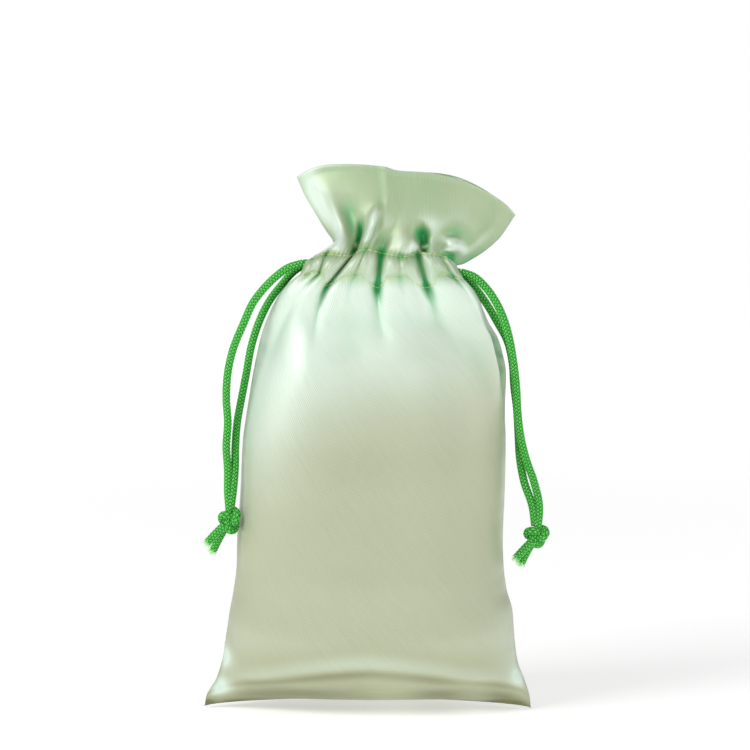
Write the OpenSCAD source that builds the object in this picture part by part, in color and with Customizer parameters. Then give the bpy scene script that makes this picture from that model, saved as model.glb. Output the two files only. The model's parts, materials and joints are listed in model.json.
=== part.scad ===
// Satin gift sack with a gathered neck, a ruffled mouth and two drawcords.
// Origin at the middle of the underside, +Z up, front towards -Y, millimetres.

/* [Sack] */
// Width across the two bottom corners
sack_w = 120; // [100:1:150]
// Height from the underside to the lower row of casing stitching
body_h = 155; // [120:1:190]
// Fullness of the sack from front to back
sack_d = 54; // [40:1:70]
// Depth of the flat underside from front to back
base_d = 18; // [12:1:26]
// Thickness of the satin, with the air held between its turned layers
cloth_t = 1; // [0.7:0.1:1.3]

/* [Neck] */
// Width of the gathered neck
neck_w = 53; // [44:1:64]
// Depth of the gathered neck from front to back
neck_d = 24; // [20:1:30]
// Distance between the two rows of casing stitching
casing_h = 10; // [9:0.5:14]
// How far the neck stands to the right of the base
neck_lean = 5; // [-8:1:8]
// How far the gathered puffs stand out
puff_d = 2; // [0:0.5:4]

/* [Mouth] */
// Height of the ruffle above the casing at its left tip
left_tip_h = 27; // [20:1:40]
// Height of the ruffle above the casing at its highest point
ruffle_h = 32; // [24:1:45]
// Height of the ruffle above the casing at its right tip
right_tip_h = 15; // [10:1:40]
// Width of the ruffle from tip to tip
mouth_w = 78; // [60:1:100]
// How far the middle of the mouth stands to the right of the base
mouth_lean = 13; // [-15:1:20]
// Depth of the open mouth from front to back
mouth_d = 20; // [18:1:30]

/* [Drawcords] */
// Diameter of the braided cord
cord_d = 3; // [2.4:0.1:3.4]
// Clearance between a cord and the cloth of its casing
cord_clear = 0.4; // [0.3:0.1:0.6]
// Width of the left knot
left_knot_w = 8.6; // [7:0.2:9]
// Height of the left knot
left_knot_h = 10; // [8:0.5:12]
// Width of the right knot
right_knot_w = 9.6; // [8:0.2:11]
// Height of the right knot
right_knot_h = 8.6; // [7:0.2:11]
// Length of a cut tail beyond its knot
tail_l = 8; // [5:0.5:14]

/* [Sewing] */
// Thickness of the sewing thread
thread_d = 0.5; // [0.4:0.1:0.8]
// Length of one stitch along the casing
stitch_l = 2.2; // [1.5:0.1:3]
// Width of the seam allowance turned to the inside
seam_w = 6; // [4:0.5:10]

/* [Hidden] */

satin = [0.86, 0.93, 0.86];
satin_inside = [0.78, 0.88, 0.78];
thread_green = [0.76, 0.82, 0.45];
cord_green = [0.1, 0.75, 0.2];

columns = 28;
cord_sides = 8;
thread_sides = 4;
// Gap between two layers of cloth that lie against each other
lay_gap = 0.15;
// Gap between the ends of two pieces of one cord that lie on different bodies
end_gap = 0.3;
// How far stitches and cord ends sink into what they hold
bite = 0.1;
// Room at each end of a casing for the bend of the other drawcord
return_room = 6;

casing_top = body_h + casing_h;
casing_mid = body_h + casing_h / 2;
// Height of the slope that closes the casing beside each row of stitching
slope_h = 1.5;
// Distance of the cord's centre line from the middle plane of the neck
run_y = neck_d / 2 - cloth_t - cord_clear - cord_d / 2;
lane = cord_d / 2 + 0.1;
left_lane_z = casing_mid + lane;
right_lane_z = casing_mid - lane;
exit_x = neck_w / 2 + cord_d / 2;
left_exit_x = neck_lean - exit_x;
right_exit_x = neck_lean + exit_x;
bend_x = neck_w / 2 - return_room - end_gap;

// Rows of the body: share of the height, of the way from neck width to sack width,
// of the way from neck depth to sack depth, of the way from there to the base depth,
// share of the lean, and how square the section is
body_rows = [
    [0.00, 1.000, 1.00, 1.00, 0.00, 1.7],
    [0.03, 0.970, 1.00, 0.62, 0.00, 1.8],
    [0.07, 0.890, 1.00, 0.36, 0.00, 1.9],
    [0.15, 0.780, 1.00, 0.12, 0.00, 2.0],
    [0.29, 0.685, 1.00, 0.00, 0.10, 2.1],
    [0.48, 0.640, 1.00, 0.00, 0.24, 2.2],
    [0.64, 0.625, 0.96, 0.00, 0.48, 2.2],
    [0.76, 0.595, 0.84, 0.00, 0.88, 2.2],
    [0.85, 0.510, 0.66, 0.00, 0.86, 2.3],
    [0.92, 0.385, 0.45, 0.00, 0.70, 2.5],
    [0.96, 0.270, 0.28, 0.00, 0.72, 3.0]
];
// Rows of the ruffle: share of its height, of the way from neck width to mouth width,
// of the lean and of the depth
ruffle_rows = [
    [0.10, -0.20, 0.35, 0.3],
    [0.25, 0.10, 0.50, 0.6],
    [0.45, 0.42, 0.65, 0.8],
    [0.70, 0.72, 0.85, 0.9],
    [1.00, 1.00, 1.00, 1.0]
];
// Share of the way from the left edge to the right edge where the rim is highest
rim_peak = 0.25;
// Share of the width where the rim starts to fall to the right tip
rim_shoulder = 0.62;
rim_shoulder_h = ruffle_h - 4;

// Routes of the four hanging strands, each from its exit at the end of the casing. A back
// strand's second number is its share of the way forward from the exit to its knot.
left_front_route = [
    [0, 0, 0], [-5, 0, -1.5], [-10, 0, -5], [-14, 0, -9], [-17.5, -0.5, -13.5],
    [-21.5, -0.5, -22], [-25, -0.5, -30.5], [-27, -1, -39.5], [-27.5, -1, -48],
    [-27, -1, -57], [-27.5, -1.5, -65.5], [-27, -1.5, -74], [-27, -1.5, -82], [-26.5, -1.5, -88.5]
];
left_back_route = [
    [0, 0, 0], [-4.5, 0.05, -3], [-8.5, 0.13, -7.5], [-13, 0.23, -13.5],
    [-17, 0.36, -22], [-19.5, 0.46, -30.5], [-21, 0.56, -39.5], [-22.5, 0.66, -48],
    [-24, 0.76, -57], [-24.5, 0.86, -65.5], [-24.5, 0.94, -73], [-25, 0.99, -80],
    [-26, 0.99, -87.5]
];
right_front_route = [
    [0, 0, 0], [4.5, 0, -1.5], [9, 0, -5.5], [12.5, 0, -10.5], [15.5, 0, -17],
    [17.5, 0.5, -24], [19, 1, -32.5], [20, 1.5, -41], [20.5, 2, -49.5],
    [21.5, 2.5, -58], [23.5, 3, -66.5], [26.5, 4, -75], [28.5, 4.5, -84], [28, 4.5, -92]
];
right_back_route = [
    [0, 0, 0], [3.5, 0.04, -3.5], [6.5, 0.11, -7], [10, 0.18, -12],
    [13.5, 0.26, -18], [17, 0.29, -24.5], [19, 0.47, -33], [19.5, 0.62, -41],
    [20.5, 0.73, -49.5], [21, 0.8, -58], [21.5, 0.88, -66.5], [23, 0.95, -75],
    [26, 0.985, -84], [27, 0.985, -91]
];
left_knot_at = [-26.5, -1.5, -92];
right_knot_at = [27.5, 4.5, -95];
// Directions in which the two cut tails of each knot point
left_tail_ways = [[-0.75, -0.1, -0.65], [-0.35, 0.1, -0.93]];
right_tail_ways = [[-0.75, -0.15, -0.65], [-0.45, 0.15, -0.88]];
// Distance of a tail's start from the middle of its knot, as a share of the knot's height
tail_start = 0.3;
tail_spread = cord_d / 2 + 0.2;

function between(a, b, share) = a + (b - a) * share;
function unit(v) = v / norm(v);
function arch(x, power) = pow(max(0, 1 - pow(abs(x), power)), 1 / power);
function rim_height(u) = lookup(u, [
    [0, left_tip_h], [rim_peak, ruffle_h], [rim_shoulder, rim_shoulder_h], [1, right_tip_h]
]);
// Puffs of gathered cloth along the neck, from 0 in a groove to 1 on a crest
puffs = 5;
function puff(u) = pow(sin(180 * puffs * u), 2);

// One level of cloth: height, middle, half width, half depth, squareness, share of the
// puffs, share of the ruffle's height, whether its sides are open, and lift of the inside
function level(z, x, a, b, power, puffed, ruffle, open, lift) =
    [z, x, a, b, power, puffed, ruffle, open, lift];
function body_level(r) = level(
    r[0] * body_h,
    r[4] * neck_lean,
    between(neck_w, sack_w, r[1]) / 2,
    between(between(neck_d, sack_d, r[2]), base_d, r[3]) / 2,
    r[5], max(0, 4 * r[0] - 3) * 0.6, 0, false, r[0] == 0 ? 1 : 0
);
function neck_level(z, open) =
    level(z, neck_lean, neck_w / 2, neck_d / 2, 6, open ? 1 : 0.7, 0, open, 0);
function ruffle_level(r) = level(
    casing_top,
    between(neck_lean, mouth_lean, r[2]),
    between(neck_w, mouth_w, r[1]) / 2,
    between(neck_d, mouth_d, r[3]) / 2,
    between(6, 3, r[3]), 1, r[0], false, 0
);
// The underside runs in from the base's edge to the bottom seam
underside_step = 0.4;
underside = [
    level(0, 0, sack_w / 2 - 2 * underside_step, 0, 1.7, 0, 0, false, 1),
    level(0, 0, sack_w / 2 - underside_step, base_d / 4, 1.7, 0, 0, false, 1)
];
casing_levels = [
    neck_level(body_h, false),
    neck_level(body_h + slope_h, true),
    neck_level(casing_top - slope_h, true),
    neck_level(casing_top, false)
];
ruffle_levels = [for (r = ruffle_rows) ruffle_level(r)];
panel_levels = concat(underside, [for (r = body_rows) body_level(r)], casing_levels, ruffle_levels);
facing_levels = concat(casing_levels, ruffle_levels);

// A point on the front cloth at share u of the width, set in by side_in and depth_in
function cloth_point(l, u, side_in, depth_in) =
    let (across = sin(90 * (2 * u - 1)), closing = l[7] ? 1 : arch(across, l[4]))
    [
        l[1] + (l[2] - side_in) * across,
        -max(0, l[3] + puff_d * l[5] * puff(u) - depth_in) * closing,
        l[0] + l[6] * rim_height(u) + l[8] * depth_in
    ];
function cloth_line(l, side_in, depth_in) =
    [for (j = [0 : columns]) cloth_point(l, j / columns, side_in, depth_in)];

// Two triangles for the four-sided face a, b, c, d, parted from a to c or from b to d
function quad(a, b, c, d, from_b = false) = from_b ? [[a, b, d], [b, c, d]] : [[a, b, c], [a, c, d]];

// A closed shell between an outer and an inner grid of points, lowest line first
module shell(outer, inner) {
    rows = len(outer);
    line = len(outer[0]);
    far = rows * line;
    function at(i, j) = i * line + j;
    points = concat([for (l = outer) each l], [for (l = inner) each l]);
    faces = concat(
        [for (i = [0 : rows - 2], j = [0 : line - 2])
            each quad(at(i, j), at(i + 1, j), at(i + 1, j + 1), at(i, j + 1), j >= line / 2 - 1)],
        [for (i = [0 : rows - 2], j = [0 : line - 2])
            each quad(
                far + at(i, j), far + at(i, j + 1),
                far + at(i + 1, j + 1), far + at(i + 1, j), j >= line / 2 - 1
            )],
        [for (j = [0 : line - 2])
            each quad(at(0, j), at(0, j + 1), far + at(0, j + 1), far + at(0, j))],
        [for (j = [0 : line - 2])
            each quad(
                at(rows - 1, j + 1), at(rows - 1, j),
                far + at(rows - 1, j), far + at(rows - 1, j + 1)
            )],
        [for (i = [0 : rows - 2])
            each quad(at(i + 1, 0), at(i, 0), far + at(i, 0), far + at(i + 1, 0))],
        [for (i = [0 : rows - 2])
            each quad(at(i, line - 1), at(i + 1, line - 1), far + at(i + 1, line - 1), far + at(i, line - 1))]
    );
    polyhedron(points, faces);
}

// A tube of the given radius along a line of points
module tube(line, radius, sides) {
    last = len(line) - 1;
    function heading(i) = unit(line[min(i + 1, last)] - line[max(i - 1, 0)]);
    function side(i) = unit(cross(heading(i), abs(heading(i)[1]) > 0.9 ? [0, 0, 1] : [0, 1, 0]));
    points = [
        for (i = [0 : last], k = [0 : sides - 1])
            line[i] + radius * (cos(360 * k / sides) * side(i)
                + sin(360 * k / sides) * cross(heading(i), side(i)))
    ];
    faces = concat(
        [[for (k = [0 : sides - 1]) k]],
        [for (i = [0 : last - 1], k = [0 : sides - 1]) each quad(
            i * sides + k, (i + 1) * sides + k,
            (i + 1) * sides + (k + 1) % sides, i * sides + (k + 1) % sides
        )],
        [[for (k = [sides - 1 : -1 : 0]) last * sides + k]]
    );
    polyhedron(points, faces);
}

module to_back() {
    mirror([0, 1, 0]) children();
}

module panel() {
    shell(
        [for (l = panel_levels) cloth_line(l, 0, 0)],
        [for (l = panel_levels) cloth_line(l, cloth_t, cloth_t)]
    );
}

// The facing lies against the panel, and stands off it where the cords run
channel = cord_d + 2 * cord_clear;
function facing_line(l, more) = cloth_line(
    l,
    (l[7] ? return_room : cloth_t + lay_gap) + more,
    cloth_t + (l[7] ? channel + puff_d : lay_gap) + more
);
module facing() {
    shell(
        [for (l = facing_levels) facing_line(l, 0)],
        [for (l = facing_levels) facing_line(l, cloth_t)]
    );
}

// A row of stitches on the outer face of the cloth at one level
module casing_stitches(l) {
    edge = 0.04;
    spacing = 1.4 * stitch_l;
    longest = 0.6;
    count = floor(neck_w / spacing);
    pitch = (1 - 2 * edge) / count;
    share = min(stitch_l / neck_w, longest * pitch);
    lead_in = (1 - longest) / 2 * pitch;
    out = bite - thread_d / 2;
    for (i = [0 : count - 1]) {
        start = edge + i * pitch + lead_in;
        ends = [for (u = [start, start + share]) cloth_point(l, u, out, out)];
        tube(ends, thread_d / 2, thread_sides);
    }
}

// The inner edge line of the side seams, one point for each level of the body
seam_t = 1.2;
seam_off = 1.2;
seam_levels = [for (i = [3 : len(body_rows) - 1]) body_level(body_rows[i])];
function side_edge(way, deeper) = [
    for (l = seam_levels) [l[1] + way * (l[2] - cloth_t - seam_off - deeper), 0, l[0]]
];
function moved(line, by) = [for (p = line) p + by];

module side_seam(way) {
    near = side_edge(way, 0);
    deep = side_edge(way, seam_w);
    half = [0, seam_t / 2, 0];
    left = way < 0 ? near : deep;
    right = way < 0 ? deep : near;
    shell(
        [for (i = [0 : len(near) - 1]) [left[i] - half, right[i] - half]],
        [for (i = [0 : len(near) - 1]) [left[i] + half, right[i] + half]]
    );
}

module side_stitching(way) {
    line = side_edge(way, seam_w / 4);
    tube(moved(line, [0, -(seam_t + thread_d) / 2 + bite, 0]), thread_d / 2, thread_sides);
}

seam_foot = cloth_t + lay_gap;
bottom_seam_w = sack_w * 0.8;

module cord_run(way, y, z) {
    from = -way * bend_x;
    to = way * (neck_w / 2 + end_gap);
    translate([neck_lean + min(from, to), y, z])
        rotate([0, 90, 0])
            cylinder(h = abs(to - from), d = cord_d, $fn = 32);
}

// The bend that joins a cord's front run to its back run, round the end of the facings
module cord_return(way, z) {
    start = neck_w / 2 - return_room;
    straight = 0.8;
    turn = neck_w / 2 - cord_d / 2 - cord_clear - start - straight;
    bend = concat(
        [[start, -run_y]],
        [for (a = [-90 : 30 : 90]) [start + straight + turn * cos(a), run_y * sin(a)]],
        [[start, run_y]]
    );
    tube([for (p = bend) [neck_lean + way * p[0], way * p[1], z]], cord_d / 2, cord_sides);
}

module strand(exit, route) {
    tube(moved(route, exit), cord_d / 2, cord_sides);
}

// A back strand's route, brought forward to its knot across the neck
function forward(route, knot_at) =
    [for (p = route) [p[0], p[1] * (knot_at[1] - 2 * run_y), p[2]]];

module knot(at, width, height) {
    step = 15;
    translate(at)
        rotate_extrude($fn = 32)
            polygon([for (a = [-90 : step : 90]) [width / 2 * cos(a), height / 2 * sin(a)]]);
}

module tails(at, ways, height) {
    for (i = [0, 1]) {
        start = at + [0, (i - 0.5) * 2 * tail_spread, 0] + tail_start * height * unit(ways[i]);
        tube([start, start + (tail_l + height / 4) * unit(ways[i])], cord_d / 2, cord_sides);
    }
}

module front_panel() { color(satin) panel(); }
module back_panel() { color(satin) to_back() panel(); }
module front_facing() { color(satin_inside) facing(); }
module back_facing() { color(satin_inside) to_back() facing(); }
module front_upper_stitching() { color(thread_green) casing_stitches(casing_levels[3]); }
module front_lower_stitching() { color(thread_green) casing_stitches(casing_levels[0]); }
module back_upper_stitching() { color(thread_green) to_back() casing_stitches(casing_levels[3]); }
module back_lower_stitching() { color(thread_green) to_back() casing_stitches(casing_levels[0]); }
module left_side_seam() { color(satin_inside) side_seam(-1); }
module right_side_seam() { color(satin_inside) side_seam(1); }
module bottom_seam() {
    color(satin_inside)
        translate([-bottom_seam_w / 2, -seam_t / 2, seam_foot])
            cube([bottom_seam_w, seam_t, seam_w]);
}
module left_side_stitching() { color(thread_green) side_stitching(-1); }
module right_side_stitching() { color(thread_green) side_stitching(1); }
module bottom_stitching() {
    color(thread_green)
        translate([-bottom_seam_w / 2, -(seam_t + thread_d) / 2 + bite, seam_foot + seam_w / 4])
            rotate([0, 90, 0])
                cylinder(h = bottom_seam_w, d = thread_d, $fn = 16);
}

left_front_exit = [left_exit_x, -run_y, left_lane_z];
left_back_exit = [left_exit_x, run_y, left_lane_z];
right_front_exit = [right_exit_x, -run_y, right_lane_z];
right_back_exit = [right_exit_x, run_y, right_lane_z];

module left_front_run() { color(cord_green) cord_run(-1, -run_y, left_lane_z); }
module left_back_run() { color(cord_green) cord_run(-1, run_y, left_lane_z); }
module left_return() { color(cord_green) cord_return(1, left_lane_z); }
module right_front_run() { color(cord_green) cord_run(1, -run_y, right_lane_z); }
module right_back_run() { color(cord_green) cord_run(1, run_y, right_lane_z); }
module right_return() { color(cord_green) cord_return(-1, right_lane_z); }
module left_front_strand() { color(cord_green) strand(left_front_exit, left_front_route); }
module left_back_strand() {
    color(cord_green) strand(left_back_exit, forward(left_back_route, left_knot_at));
}
module left_knot() { color(cord_green) knot(left_front_exit + left_knot_at, left_knot_w, left_knot_h); }
module left_tails() { color(cord_green) tails(left_front_exit + left_knot_at, left_tail_ways, left_knot_h); }
module right_front_strand() { color(cord_green) strand(right_front_exit, right_front_route); }
module right_back_strand() {
    color(cord_green) strand(right_back_exit, forward(right_back_route, right_knot_at));
}
module right_knot() { color(cord_green) knot(right_front_exit + right_knot_at, right_knot_w, right_knot_h); }
module right_tails() {
    color(cord_green) tails(right_front_exit + right_knot_at, right_tail_ways, right_knot_h);
}

front_panel();
back_panel();
front_facing();
back_facing();
front_upper_stitching();
front_lower_stitching();
back_upper_stitching();
back_lower_stitching();
left_side_seam();
right_side_seam();
bottom_seam();
left_side_stitching();
right_side_stitching();
bottom_stitching();
left_front_run();
left_back_run();
left_return();
right_front_run();
right_back_run();
right_return();
left_front_strand();
left_back_strand();
left_knot();
left_tails();
right_front_strand();
right_back_strand();
right_knot();
right_tails();
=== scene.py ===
import json
import math

import bpy
import numpy as np
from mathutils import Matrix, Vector


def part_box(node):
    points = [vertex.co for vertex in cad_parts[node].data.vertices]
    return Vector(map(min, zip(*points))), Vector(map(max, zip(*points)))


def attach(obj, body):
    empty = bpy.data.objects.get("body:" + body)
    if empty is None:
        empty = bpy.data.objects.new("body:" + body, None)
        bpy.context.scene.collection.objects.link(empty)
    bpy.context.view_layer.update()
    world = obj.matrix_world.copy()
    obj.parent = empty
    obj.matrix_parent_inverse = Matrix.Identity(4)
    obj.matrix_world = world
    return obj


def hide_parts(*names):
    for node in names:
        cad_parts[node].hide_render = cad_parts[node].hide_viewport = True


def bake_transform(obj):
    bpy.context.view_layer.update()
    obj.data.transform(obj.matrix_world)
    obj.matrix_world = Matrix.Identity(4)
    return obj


bl_info = {
    "name": "Satin Gift Sack",
    "version": (1, 0, 0),
    "blender": (4, 5, 0),
    "location": "3D View > Sidebar > Gift Sack",
    "description": "Builds a satin gift sack with a gathered neck and two braided drawcords",
    "category": "Add Mesh",
}

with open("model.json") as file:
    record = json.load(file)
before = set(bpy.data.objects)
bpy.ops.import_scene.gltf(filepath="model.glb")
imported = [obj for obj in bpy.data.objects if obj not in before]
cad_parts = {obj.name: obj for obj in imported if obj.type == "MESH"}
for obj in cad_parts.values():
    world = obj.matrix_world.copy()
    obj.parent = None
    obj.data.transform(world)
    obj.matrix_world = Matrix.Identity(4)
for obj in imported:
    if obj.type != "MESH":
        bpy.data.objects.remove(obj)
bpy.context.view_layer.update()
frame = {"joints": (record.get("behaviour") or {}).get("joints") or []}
MM = 0.001

# ---------------------------------------------------------------- places from the frame

LEFT_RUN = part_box("left_front_run")
CORD_RADIUS = (LEFT_RUN[1].z - LEFT_RUN[0].z) / 2
RUN_Y = (LEFT_RUN[0].y + LEFT_RUN[1].y) / 2
SWINGS = {joint["name"]: Vector(joint["pos_m"]) for joint in frame["joints"] if joint["type"] == "hinge"}
BOTTOM_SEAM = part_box("bottom_seam")
SEAM_WIDTH = BOTTOM_SEAM[1].z - BOTTOM_SEAM[0].z

# ---------------------------------------------------------------- cords and seams, in metres

# A round braid: columns of yarn round the cord, and how deep its gaps are.
BRAID_COLUMNS = 8
BRAID_RELIEF = .27 * MM
# Points round a cord where it is seen, and inside the casing.
CORD_SIDES, RUN_SIDES = 48, 24
# Distances between two rings of points along the strands, the knots with their tails, and the runs.
STRAND_STEP, KNOT_STEP, RUN_STEP = .2 * MM, .22 * MM, .4 * MM
# How far a return bend runs straight before it turns.
RETURN_STRAIGHT = .8 * MM
# Loose fibres at a cut end: how many, the seed of their places at a knot's first tail, how deep their
# roots lie, and their radius at the root and the tip.
FIBRES = 46
FIRST_SEED = 7
ROOT_DEPTH = .6 * MM
FIBRE_RADII = (.14 * MM, .07 * MM)
# How far the allowances' sewn edge lies in from the seam, and the gap between their two layers.
SEAM_OFF = 1.4 * MM
SEAM_GAP = .05 * MM
# Gap between two stitches as a share of a stitch.
STITCH_GAP = .22
# How thick a stitch is from one end to the other, as shares of its thread.
STITCH_SHAPE = (.7, .95, 1, 1, 1, .95, .7)

# Routes of the hanging strands from their exits.
LEFT_FRONT_ROUTE = [
    (0, 0, 0), (-.005, 0, -.0015), (-.010, 0, -.005), (-.014, 0, -.009), (-.0175, -.0005, -.0135),
    (-.0215, -.0005, -.022), (-.025, -.0005, -.0305), (-.027, -.001, -.0395), (-.0275, -.001, -.048),
    (-.027, -.001, -.057), (-.0275, -.0015, -.0655), (-.027, -.0015, -.074), (-.027, -.0015, -.082),
    (-.0265, -.0015, -.0885),
]
LEFT_BACK_ROUTE = [
    (0, 0, 0), (-.0045, -.001, -.003), (-.0085, -.0025, -.0075), (-.013, -.0045, -.0135),
    (-.017, -.007, -.022), (-.0195, -.009, -.0305), (-.021, -.011, -.0395), (-.0225, -.013, -.048),
    (-.024, -.015, -.057), (-.0245, -.017, -.0655), (-.0245, -.0185, -.073), (-.025, -.0195, -.080),
    (-.026, -.0195, -.0875),
]
RIGHT_FRONT_ROUTE = [
    (0, 0, 0), (.0045, 0, -.0015), (.009, 0, -.0055), (.0125, 0, -.0105), (.0155, 0, -.017),
    (.0175, .0005, -.024), (.019, .001, -.0325), (.020, .0015, -.041), (.0205, .002, -.0495),
    (.0215, .0025, -.058), (.0235, .003, -.0665), (.0265, .004, -.075), (.0285, .0045, -.084),
    (.028, .0045, -.092),
]
RIGHT_BACK_ROUTE = [
    (0, 0, 0), (.0035, -.0005, -.0035), (.0065, -.0015, -.007), (.010, -.0025, -.012),
    (.0135, -.0035, -.018), (.017, -.004, -.0245), (.019, -.0065, -.033), (.0195, -.0085, -.041),
    (.0205, -.010, -.0495), (.021, -.011, -.058), (.0215, -.012, -.0665), (.023, -.013, -.075),
    (.026, -.0135, -.084), (.027, -.0135, -.091),
]

# ---------------------------------------------------------------- curves and shapes of the cloth

# All lengths in the tables below are in millimetres.
# Outline of the sack seen from the front: height, left edge, right edge.
OUTLINE = [
    (-1, -60, 59.2), (0, -59.8, 59), (4, -59.2, 58.6), (10, -55.8, 56.9), (18, -53.2, 54), (27, -51.8, 52.9),
    (36, -50.4, 52.2), (44, -48.9, 50), (53, -47.8, 48.9), (62, -47.6, 48.6), (79, -46.4, 49.2),
    (96, -45.6, 49.6), (109, -43.9, 49.8), (122, -41.7, 50.4), (131, -39.9, 48.9), (135, -38.9, 47.6),
    (140, -37.2, 44.6), (144, -35.6, 42.8), (148, -33.6, 41), (152, -30.8, 38.2), (156, -26.4, 34.3),
    (158, -23.6, 31.8), (161, -22, 31.4),
]
# Up the middle of a panel from the bottom seam: length of cloth, height, distance from the middle plane.
MIDDLE = [
    (0, 3.8, 0), (6, 4.2, 6), (13, 5.6, 12), (18, 8, 16), (22, 10.6, 19.2), (26, 14.4, 20.6),
    (40, 27.8, 24.4), (60, 47.4, 26.8), (90, 77.2, 27.4), (110, 96.8, 26.4), (130, 116.2, 23.7),
    (150, 134.4, 19.4), (160, 143, 16.8), (172, 154, 15.4),
]
# Up a side seam: length of cloth, height.
SIDE = [
    (0, 0.3), (10, 7.6), (20, 16.3), (40, 35), (80, 74), (120, 113), (145, 136.5), (160, 148.5), (172, 157),
]
# How square the front-to-back section is: length of cloth, power.
SECTION = [(0, 1.7), (20, 1.8), (40, 2.1), (90, 2.25), (130, 2.2), (155, 2.5), (172, 3.2)]
# Places of the cloth across the neck: share of the cut, at the lower stitching, at the upper stitching.
NECK = [
    (0, -21.8, -22), (.10, -17, -17), (.16, -15.4, -14.6), (.27, -11.6, -8.4), (.34, -9.7, -4.8),
    (.41, -5.5, -2), (.50, .6, 1.4), (.545, 4.8, 5), (.60, 8.8, 9.2), (.69, 15.4, 14.6),
    (.735, 18.7, 17.8), (.79, 22.3, 20.6), (.88, 28.6, 25.8), (.94, 30.4, 28.8), (1, 31.6, 31.2),
]
# The two rows of casing stitching: place across, height.
LOWER_ROW = [
    (-21.8, 157.6), (-20, 156.8), (-17.8, 158.3), (-14.5, 157.6), (-11.8, 155.7), (-10.1, 153.8),
    (-6.2, 156.5), (-2.9, 157), (1.5, 155.4), (4.8, 152.9), (7.9, 156.3), (13.6, 156.5), (15.9, 154.3),
    (17.8, 152.9), (20.3, 153.5), (22.5, 155.7), (26.9, 157.7), (30.2, 156), (31.6, 156),
]
UPPER_ROW = [
    (-22, 162.3), (-14.8, 164.7), (-6.2, 164.1), (-3.2, 165.7), (-.2, 166.3), (4.8, 165.2),
    (13.6, 164), (17.5, 165.2), (26.9, 164), (30.2, 161.9), (31.2, 161.4),
]
# How far the puffs stand from the middle plane: share of the cut, distance.
PUFFS = [
    (0, 11.3), (.04, 13), (.1, 14.6), (.22, 16.2), (.40, 16.8), (.5, 16.2), (.64, 16.8), (.8, 16.2),
    (.93, 14), (.97, 12.8), (1, 11.3),
]
# Grooves pulled in by the gathers: share of the cut, width, depth at the stitching, reach downwards.
FRONT_GROOVES = [
    (.16, .020, 2.2, 7), (.34, .024, 5.4, 15), (.545, .015, 5.0, 9), (.735, .024, 5.4, 16),
    (.885, .022, 2.6, 9), (.05, .015, 1.0, 6), (.45, .012, 1.0, 7), (.64, .012, .9, 6),
    (.95, .012, 1.0, 6),
]
BACK_GROOVES = [
    (.12, .022, 2.4, 8), (.26, .026, 4.4, 12), (.44, .030, 5.0, 16), (.60, .018, 4.2, 10),
    (.78, .030, 4.8, 14), (.90, .020, 2.2, 8), (.35, .012, 1.0, 7), (.52, .012, 1.0, 6),
    (.69, .012, .9, 6),
]
# The rim seen from the front: share of the cut, place across, height.
RIM = [
    (0, -25.7, 192.3), (.068, -20.4, 195.1), (.14, -14.6, 196.4), (.213, -9, 196.6), (.30, -2.4, 196.4),
    (.404, 5.9, 195.6), (.46, 10.3, 194.3), (.58, 19.7, 193.6), (.70, 29.1, 191.9), (.848, 40.7, 187.7),
    (.954, 49, 182.5), (1, 52.6, 178.7),
]
# The side edges of the ruffle: share of its height, place across, distance from the middle, height.
LEFT_EDGE = [
    (0, -22, 11.3, 162.4), (.08, -18.6, 10.6, 164.2), (.16, -14.6, 8.6, 165.6), (.24, -12, 5.6, 167),
    (.32, -12.6, 3.2, 169.4), (.42, -15.1, 1.4, 173), (.62, -19.5, .5, 180.2), (.8, -22.9, .4, 186),
    (1, -25.7, .4, 192.3),
]
RIGHT_EDGE = [
    (0, 31.2, 11.3, 161.4), (.1, 31.8, 6.5, 160.8), (.2, 33.8, 2.8, 161.2), (.32, 36.9, .8, 162.8),
    (.5, 42.2, .5, 166.2), (.72, 47.4, .4, 171), (.86, 50.2, .4, 175), (1, 52.6, .4, 178.7),
]
BACK_LEFT_EDGE = [
    (0, -22, 11.3, 162.4), (.08, -17.8, 10, 164.4), (.16, -13.8, 8, 166), (.24, -11.4, 5.2, 167.4),
    (.32, -12.2, 3, 169.8), (.42, -15, 1.3, 173.2), (.62, -19.5, .5, 180.2), (.8, -22.9, .4, 186),
    (1, -25.7, .4, 192.3),
]
# Folds of the ruffle: share of the cut at its foot, half way up and at its rim, width, how far it
# stands forward, and the shares of the height between which it is seen.
FRONT_FOLDS = [
    (.24, .13, .07, .075, 1.5, -.3, .95), (.33, .245, .20, .065, -2.6, -.3, .72),
    (.335, .315, .29, .022, -3.6, -.3, .50), (.41, .42, .43, .034, 3.6, .02, .62),
    (.52, .52, .52, .020, -1.8, -.3, .36), (.60, .60, .60, .11, 1.2, .2, 1.5),
    (.79, .66, .62, .030, -4.6, -.3, .52), (.66, .60, .58, .050, 1.6, -.3, .42),
    (.83, .84, .85, .045, -2.4, .16, .66), (.78, .74, .72, .10, 1.2, .25, 1.5),
    (.88, .905, .91, .026, 4.6, .04, .40), (.93, .935, .94, .020, -3.6, -.3, .20),
    (.965, .965, .97, .022, 2.0, .1, .8), (.90, .90, .90, .07, -1.2, .5, 1.4),
]
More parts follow.
